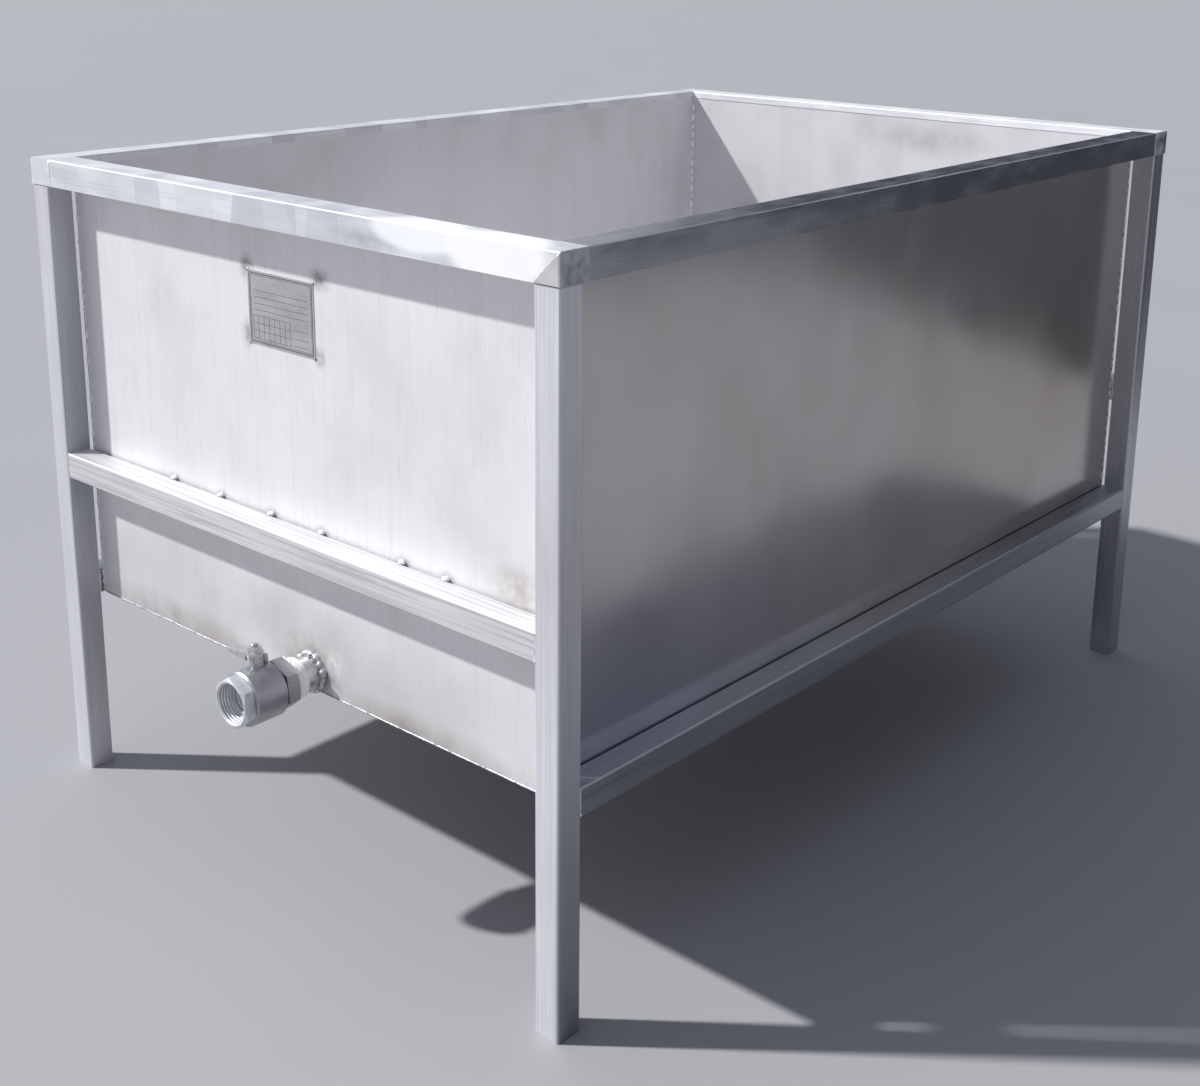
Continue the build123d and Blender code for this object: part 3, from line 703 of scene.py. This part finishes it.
tapeWrap = {
    "turns": 7, "rows": 28, "sides": 72,
    "clear": 0.4, "thick": 1.1, "edge": 0.45, "wander": 0.5,   # the last two are shares of the thickness
    "past": 10.0, "overhang": 1.4,         # millimetres that the tape runs on over the plain pipe
    "depth": 1.4,                          # its inner face, below the pipe's skin
}
tapeEnd = {
    "rows": 8, "start": 78, "sweep": 26,   # degrees round the pipe
    "clear": 0.5, "lift": 5.5, "wide": 5.0, "taper": 3.2, "curl": 0.8, "thick": 0.35,
}


# Seal tape wound on the pipe thread, with the edges of the turns showing and a torn end on top
def makeTape():
    low, high = (Vector(corner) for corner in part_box("thread_tape"))
    middle = (low + high) / 2
    radius = (high.x - low.x) / 2 + tapeWrap["clear"] * mm

    def onPipe(turn, size, y):
        return Vector((middle.x + math.cos(turn) * size, y, middle.z + math.sin(turn) * size))

    rings = []
    for row in range(tapeWrap["rows"] + 1):
        share = row / tapeWrap["rows"]
        ring = []
        for turn in around(tapeWrap["sides"]):
            edge = math.modf(share * tapeWrap["turns"] + turn / math.tau)[0]
            bulge = tapeWrap["edge"] * edge + tapeWrap["wander"] * chance(turn, 4, share * 6)
            y = low.y + (high.y + tapeWrap["past"] * mm - low.y) * share
            if share == 1:
                y += chance(turn, 2.5, 10) * tapeWrap["overhang"] * mm
            ring.append(onPipe(turn, radius + bulge * tapeWrap["thick"] * mm, y))
        rings.append(ring)
    inside = (pipeHigh[0] - pipeLow[0]) / 2 - tapeWrap["depth"] * mm
    ends = [[onPipe(turn, inside, rings[row][0].y) for turn in around(tapeWrap["sides"])]
            for row in (0, -1)]
    wound = skin([ends[0], *rings, ends[1]], looped=True)
    wrap = makePiece("seal_tape_wrap", *wound, "ptfeSealTape", "ptfe")
    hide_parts("thread_tape")

    # Torn end: a thin curled strip that stands off the top of the wrap
    rings = []
    for row in range(tapeEnd["rows"] + 1):
        share = row / tapeEnd["rows"]
        turn = math.radians(tapeEnd["start"] + tapeEnd["sweep"] * share)
        lift = radius + tapeEnd["clear"] * mm + share ** 2 * tapeEnd["lift"] * mm
        width = (tapeEnd["wide"] - tapeEnd["taper"] * share) * mm
        wave = math.sin(share * 5) * tapeEnd["curl"] * mm
        deep = tapeEnd["thick"] * mm
        rings.append([onPipe(turn, lift - drop, middle.y + side * width / 2 + wave)
                      for side, drop in ((-1, 0), (-1, deep), (1, deep), (1, 0))])
    makePiece("seal_tape_end", *skin(rings), "ptfeSealTape", "ptfe")


makeTape()
print("seal tape wound")

stitch = {
    "length": 15.0, "gap": 3.6, "width": 6.4, "height": 3.8, "pitch": 5.0,
    "sheet": 1.5, "off": 0.8,              # to the corner inside the sheet, and on to the bead
    "above": 9.0, "below": 6.0,            # clear of the floor and of the top edge
    "shares": (0, 0.12, 0.35, 0.65, 0.88, 1.0),    # where the rings of a dab stand
    "longer": 0.35, "wider": 0.3, "spare": 1.4,    # most by chance, and lengths kept for the last dab
}


# Stitched weld down each inside corner of the tank: short dabs with small gaps
def makeCornerStitches():
    inset = stitch["sheet"] * mm
    ends = (("front", wallLow[1] + inset, 1), ("back", backHigh[1] - inset, -1))
    sides = (("left", shellLow[0] + inset, 1), ("right", shellHigh[0] - inset, -1))
    corners = [(f"{end}_{side}", x, y, inX, inY) for end, y, inY in ends for side, x, inX in sides]
    for seed, (name, x, y, inX, inY) in enumerate(corners):
        dabs = []
        outward = Vector((inX, inY, 0)).normalized()
        centre = Vector((x, y, 0)) + outward * stitch["off"] * mm
        z = shellLow[2] + stitch["above"] * mm
        top = shellHigh[2] - stitch["below"] * mm
        while z + stitch["spare"] * stitch["length"] * mm < top:
            number = len(dabs) + 1
            drift = noise.noise(Vector((number * 1.37, seed * 9.1, 0.4)))
            length = stitch["length"] * (1 + stitch["longer"] * drift) * mm
            path = [centre + Vector((0, 0, z + length * share)) for share in stitch["shares"]]
            width = stitch["width"] * (1 + stitch["wider"] * drift) * mm
            dabs.append(beadRings(path, outward, width, stitch["height"] * mm, seed=number, sides=8,
                                  pitch=stitch["pitch"]))
            z += length + stitch["gap"] * (1 + drift) * mm
        makePiece(f"corner_stitches_{name}", *skins(dabs), "stainlessWeldBead")


makeCornerStitches()

edgeBead = {"width": 3.4, "height": 1.0, "step": 4.0, "inset": 0.9, "above": 8.0, "below": 3.0}
bottomBead = {"height": 1.3, "pitch": 9, "inset": 0.6, "clear": 7.0}


# Ground welds outside: down the tank's four corners and along the bottom of both end walls
def makeEdgeWelds():
    width, height, step = (edgeBead[key] * mm for key in ("width", "height", "step"))
    clear = bottomBead["clear"] * mm
    for seed, (name, y, outY) in enumerate((("front", wallLow[1], -1), ("back", backHigh[1], 1))):
        beads = []
        for x, outX in ((shellLow[0], -1), (shellHigh[0], 1)):
            out = Vector((outX, outY, 0)).normalized()
            spot = Vector((x, y, 0)) - out * edgeBead["inset"] * mm
            path = straightPath(spot + Vector((0, 0, shellLow[2] + edgeBead["above"] * mm)),
                                spot + Vector((0, 0, capLow[2] - edgeBead["below"] * mm)), step)
            beads.append(beadRings(path, out, width, height, seed=seed + x))
        out = Vector((0, outY, -1)).normalized()
        start, end = (Vector((x, y, bottomEdge)) - out * bottomBead["inset"] * mm
                      for x in (shellLow[0] + clear, shellHigh[0] - clear))
        beads.append(beadRings(straightPath(start, end, step), out, width, bottomBead["height"] * mm,
                               seed=seed + 5, pitch=bottomBead["pitch"]))
        makePiece(f"edge_weld_{name}", *skins(beads), "stainlessHeatedBead")


makeEdgeWelds()
print("tank welds laid")

capSeam = {
    "width": 5.0, "height": 0.3, "step": 2.0, "pitch": 11,
    "bend": 2.2, "sunk": 0.4, "down": 38.5,    # down the flange, from the top
}


# Ground weld across each joint of the rim cap: over the top and down the outer flange
def makeCapSeams():
    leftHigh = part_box("rim_cap_left")[1]
    rightLow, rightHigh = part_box("rim_cap_right")
    endLow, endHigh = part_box("rim_cap_back")
    up = Vector((0, 0, 1))
    bend, sunk, step = (capSeam[key] * mm for key in ("bend", "sunk", "step"))
    joints = {   # inner end, outer end and the way out, from above
        "front_left": ((leftHigh[0], capHigh[1]), (leftHigh[0], capLow[1]), (0, -1, 0)),
        "back_left": ((leftHigh[0], endLow[1]), (leftHigh[0], endHigh[1]), (0, 1, 0)),
        "front_right": ((rightLow[0], rightLow[1]), (rightHigh[0], rightLow[1]), (1, 0, 0)),
        "back_right": ((rightLow[0], rightHigh[1]), (rightHigh[0], rightHigh[1]), (1, 0, 0)),
    }
    for seed, (name, (inner, outer, out)) in enumerate(joints.items()):
        inner, outer, out = Vector((*inner, capHigh[2])), Vector((*outer, capHigh[2])), Vector(out)
        turnEnd = outer - out * bend
        path = [point - up * sunk for point in straightPath(inner + out * bend, turnEnd, step)]
        outward = [up] * len(path)
        for share in (0.25, 0.5, 0.75):
            way = up * math.cos(share * math.pi / 2) + out * math.sin(share * math.pi / 2)
            path.append(turnEnd - up * bend + way * (bend - sunk))
            outward.append(way)
        down = straightPath(outer - up * bend, outer - up * capSeam["down"] * mm, step)
        path += [point - out * sunk for point in down]
        outward += [out] * len(down)
        rings = beadRings(path, outward, capSeam["width"] * mm, capSeam["height"] * mm, seed=seed + 2.5,
                          sides=8, pitch=capSeam["pitch"], lean=0)
        makePiece(f"cap_seam_{name}", *skin(rings), "stainlessWeldBead")


makeCapSeams()

cornerRidge = {
    "width": 5.0, "height": 0.9, "step": 2.0, "pitch": 7,
    "inset": 3.4, "behind": 0.25, "low": 39.0, "high": 3.0,    # from the cap's end, face and top
}


# Ground weld up the folded corner of the cap over the drain, at both ends of its front
def makeCornerRidges():
    ridges = []
    for x, inX in ((capLow[0], 1), (capHigh[0], -1)):
        base = Vector((x + inX * cornerRidge["inset"] * mm, capLow[1] + cornerRidge["behind"] * mm,
                       capHigh[2]))
        path = straightPath(base - Vector((0, 0, cornerRidge["low"] * mm)),
                            base - Vector((0, 0, cornerRidge["high"] * mm)), cornerRidge["step"] * mm)
        ridges.append(beadRings(path, Vector((0, -1, 0)), cornerRidge["width"] * mm,
                                cornerRidge["height"] * mm, seed=x * 9, sides=8,
                                pitch=cornerRidge["pitch"], lean=0))
    makePiece("cap_corner_ridges", *skins(ridges), "stainlessWeldBead")


makeCornerRidges()

cornerFold = {
    "side": 39.0, "slope": 0.95, "thick": 0.7, "steps": 10, "wave": 0.6, "ripple": (0.5, 2.6),
    "right": 1.2, "foot": 0.3, "behind": 0.2,    # from the cap's end, lower edge and face
    "bevel": 0.02,                         # how far the raised edge draws in, as a share
}


# Triangle of cap sheet folded over at the corner above the drain, with its loose edge on the slant
def makeCornerFold():
    right, face = capHigh[0] - cornerFold["right"] * mm, capLow[1]
    foot = capLow[2] + cornerFold["foot"] * mm
    reach, steps = cornerFold["side"] * mm, cornerFold["steps"]
    high, quick = cornerFold["ripple"]
    rim = [Vector((right, face, foot))]
    for step in range(steps + 1):
        share = step / steps
        wave = 1 + high * math.sin(step * quick)
        bow = math.sin(share * math.pi) * cornerFold["wave"] * mm * wave
        rim.append(Vector((right - reach * (1 - share) - bow, face,
                           foot + reach * share * cornerFold["slope"] + bow)))
    lift = Vector((0, -cornerFold["thick"] * mm, 0))
    sunk = Vector((0, cornerFold["behind"] * mm, 0))
    middle = sum(rim, Vector((0, 0, 0))) / len(rim)
    rings = [[point + sunk for point in rim],
             [point + (middle - point) * cornerFold["bevel"] + lift for point in rim]]
    makePiece("cap_corner_fold", *skin(rings), "stainlessFoldedCorner", "stainless_sheet", smooth=False)


makeCornerFold()
print("cap seams ground")

plateLines = {
    "rise": 0.12, "sunk": 0.05,            # millimetres that the enamel goes above and into the plate
    "borders": ((3.0, 1.1), (5.6, 0.5)),   # inset from the edge, line width
    "rules": (27, 36, 45, 54), "ruleInset": 12,    # heights of the ruled lines below the top edge
    "ruleWidth": 0.45,
    "table": (10, 62, 90, 94),             # left, top, right, bottom, from the plate's top left corner
    "rows": 3, "columns": 7,
    "sideRules": (70, 82, 92), "sideGap": 6,    # short lines right of the table
}


# Plain ruled lines of the plate: two borders, writing lines and an empty table
def makePlateLines():
    wide = (plateHigh[0] - plateLow[0]) / mm
    tall = (plateHigh[2] - plateLow[2]) / mm
    bars = []                              # each is left, top, right, bottom
    for inset, width in plateLines["borders"]:
        bars += [(inset, inset, wide - inset, inset + width),
                 (inset, tall - inset - width, wide - inset, tall - inset),
                 (inset, inset + width, inset + width, tall - inset - width),
                 (wide - inset - width, inset + width, wide - inset, tall - inset - width)]
    half = plateLines["ruleWidth"] / 2
    left, top, right, bottom = plateLines["table"]
    end = wide - plateLines["ruleInset"]
    level = [(plateLines["ruleInset"], height, end) for height in plateLines["rules"]]
    level += [(left, top + (bottom - top) * row / plateLines["rows"], right)
              for row in range(plateLines["rows"] + 1)]
    level += [(right + plateLines["sideGap"], height, end) for height in plateLines["sideRules"]]
    bars += [(start, height - half, stop, height + half) for start, height, stop in level]
    for column in range(plateLines["columns"] + 1):
        across = left + (right - left) * column / plateLines["columns"]
        bars.append((across - half, top, across + half, bottom))
    depths = (plateLow[1] + plateLines["sunk"] * mm, plateLow[1] - plateLines["rise"] * mm)
    boxes = [[[Vector((plateLow[0] + x * mm, y, plateHigh[2] - z * mm))
               for x, z in ((left, bottom), (right, bottom), (right, top), (left, top))]
              for y in depths] for left, top, right, bottom in bars]
    makePiece("nameplate_lines", *skins(boxes), "plateLineEnamel", "stainless_sheet", smooth=False)


makePlateLines()

plateTack = {"size": 5.0, "height": 1.6, "inset": 0.6, "rows": 4, "least": 0.06, "uneven": 0.3}


# The plate is held by a small tack at each corner
def makePlateTacks():
    places = [Vector((x, wallLow[1], z))
              for x in (plateLow[0] + plateTack["inset"] * mm, plateHigh[0] - plateTack["inset"] * mm)
              for z in (plateLow[2] + plateTack["inset"] * mm, plateHigh[2] - plateTack["inset"] * mm)]
    for number, centre in enumerate(places, start=1):
        rings = []
        for row in range(plateTack["rows"] + 1):
            rise = math.sin(row / plateTack["rows"] * math.pi / 2) * plateTack["height"] * mm
            flat = max(plateTack["least"], math.cos(row / plateTack["rows"] * math.pi / 2))
            ring = []
            for turn in around(12):
                lump = 1 + plateTack["uneven"] * chance(turn, 1, number * 3.3)
                size = plateTack["size"] / 2 * flat * lump * mm
                ring.append(centre + Vector((math.cos(turn) * size, -rise, math.sin(turn) * size)))
            rings.append(ring)
        makePiece(f"plate_tack_{number}", *skin(rings), "stainlessHeatedBead")


makePlateTacks()
print("plate lines and tacks made")

setting = {
    "sunTravel": (0.566, 0.461, -0.684),   # from the front left, 43 degrees up, as the shadows show
    "sunStrength": 4.0, "sunSize": 2.0,    # the size in degrees softens the shadow edges a little
    "skyBright": "#B8BCCE",                # light on matt surfaces, from overhead
    "skyDim": "#2C303B",                   # the same from the right
    "skyLean": (-0.8, -0.5, 1.0),          # way to the bright side of the sky
    "backdrop": "#C6C8CC", "backdropTop": "#B4BAC4", "topRise": 0.8,
    "dusk": "#3C404A", "duskWay": (-0.43, 0.89, 0.12),    # dim part behind the vat, in reflections only
    "duskEdge": (0.955, 0.985),            # cosines of its soft edge
    "floorColour": "#A4A4A6", "floorPatch": "#AEAEB0", "floorHalf": 60.0,
    "cardFeet": ((0.9, 2.45), (3.4, 3.72), (3.6, 2.2)), "cardHeight": 1.8,   # folded dark card, metres
}

# Floor, matt paint rolled on: even and pale, with faint broad clouds
floorPaint = {
    "base": setting["floorColour"], "metallic": 0.0, "rough": (0.72, 0.8, (900, 900), {}),
    "tints": [(setting["floorPatch"], 0.15, (900, 900), {"band": (0.3, 0.7)})], "relief": [],
}

# Card covered in black cloth: nearly no shine
cardCloth = {
    "base": "#55565B", "metallic": 0.0, "rough": (0.88, 0.95, (60, 60), {}),
    "tints": [("#5F6066", 0.6, (60, 60), {})], "relief": [],
}


# A flat piece of the studio, which isn't part of the vat
def makeStage(name, corners, faces, finish):
    mesh = bpy.data.meshes.new(name)
    mesh.from_pydata(corners, [], faces)
    mesh.materials.append(finish)
    piece = bpy.data.objects.new(name, mesh)
    bpy.context.scene.collection.objects.link(piece)
    return piece


# One broad lamp, a soft sky, a plain pale floor and a dark card out of the picture
def makeStudio():
    sun = bpy.data.lights.new("keyLamp", "SUN")
    sun.energy = setting["sunStrength"]
    sun.angle = math.radians(setting["sunSize"])
    lamp = bpy.data.objects.new("keyLamp", sun)
    lamp.rotation_mode = "QUATERNION"
    lamp.rotation_quaternion = Vector(setting["sunTravel"]).to_track_quat("-Z", "Y")
    bpy.context.scene.collection.objects.link(lamp)

    world = bpy.data.worlds.new("studioSky")
    bpy.context.scene.world = world
    world.use_nodes = True
    tree = world.node_tree
    tree.nodes.clear()
    ray = addNode(tree, "ShaderNodeTexCoord").outputs["Generated"]
    lean = addNode(tree, "ShaderNodeVectorMath", {"operation": "DOT_PRODUCT", 1: setting["skyLean"]},
                   {0: ray})
    bright = addNode(tree, "ShaderNodeMapRange", (), {"Value": lean.outputs["Value"]})
    sky = addNode(tree, "ShaderNodeMix", {"data_type": "RGBA", 6: linear(setting["skyDim"]),
                                          7: linear(setting["skyBright"])}, {0: bright})
    height = addNode(tree, "ShaderNodeSeparateXYZ", (), {0: ray}).outputs[2]
    rise = addNode(tree, "ShaderNodeMapRange", {"From Max": setting["topRise"]}, {"Value": height})
    behind = addNode(tree, "ShaderNodeMix", {"data_type": "RGBA", 6: linear(setting["backdrop"]),
                                             7: linear(setting["backdropTop"])}, {0: rise})
    near = addNode(tree, "ShaderNodeVectorMath",
                   {"operation": "DOT_PRODUCT", 1: Vector(setting["duskWay"]).normalized()}, {0: ray})
    dusk = addNode(tree, "ShaderNodeMapRange",
                   {"interpolation_type": "SMOOTHSTEP", "From Min": setting["duskEdge"][0],
                    "From Max": setting["duskEdge"][1]}, {"Value": near.outputs["Value"]})
    path = addNode(tree, "ShaderNodeLightPath")
    mirrored = addNode(tree, "ShaderNodeMath", {"operation": "MULTIPLY"},
                       {0: dusk, 1: path.outputs["Is Glossy Ray"]})
    behind = addNode(tree, "ShaderNodeMix", {"data_type": "RGBA", 7: linear(setting["dusk"])},
                     {0: mirrored, 6: behind.outputs[2]})
    seen = path.outputs["Is Camera Ray"]
    for kind in ("Is Glossy Ray", "Is Transmission Ray"):
        seen = addNode(tree, "ShaderNodeMath", {"operation": "MAXIMUM"},
                       {0: seen, 1: path.outputs[kind]})
    colour = addNode(tree, "ShaderNodeMix", {"data_type": "RGBA"},
                     {0: seen, 6: sky.outputs[2], 7: behind.outputs[2]})
    light = addNode(tree, "ShaderNodeBackground", (), {"Color": colour.outputs[2]})
    addNode(tree, "ShaderNodeOutputWorld", (), {"Surface": light})

    half = setting["floorHalf"]
    makeStage("studioFloor", [(-half, -half, 0), (half, -half, 0), (half, half, 0), (-half, half, 0)],
              [(0, 1, 2, 3)], makeFinish("paleFloorPaint", floorPaint))
    corners = [(*foot, height) for height in (0, setting["cardHeight"]) for foot in setting["cardFeet"]]
    card = makeStage("darkCard", corners, [(0, 1, 4, 3), (1, 2, 5, 4)],
                     makeFinish("darkCardCloth", cardCloth))
    card.visible_camera = False
    card.visible_diffuse = False
    card.visible_shadow = False


makeStudio()
bpy.context.scene.view_settings.view_transform = "Standard"
print("studio set")
